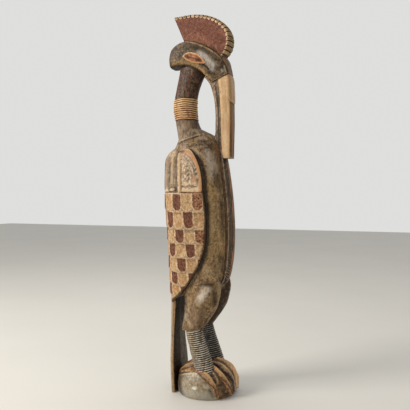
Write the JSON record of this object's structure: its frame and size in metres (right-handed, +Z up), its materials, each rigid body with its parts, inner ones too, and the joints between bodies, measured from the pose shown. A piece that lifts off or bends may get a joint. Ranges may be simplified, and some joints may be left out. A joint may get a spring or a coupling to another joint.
{
  "type": "hornbill carving",
  "caption": "Standing hornbill carved in wood with its domed mound: fan crest, long beak joined to the chest, bowed ringed neck, folded wings, board tail and ringed legs.",
  "frame": {"origin": "middle of the mound's flat underside, on the floor", "axes": "+X the way the beak points, +Y the bird's left, +Z up"},
  "size_m": [0.2251, 0.182, 1.1529],
  "materials": {
    "painted_wood": "hand-carved wood in worn earth colours: dark brown and grey-olive body, cream and maroon feathers, red-brown crest, tan beak, low waxy sheen"
  },
  "bodies": {
    "root": {"hornbill_carving": "painted_wood"}
  },
  "joints": []
}
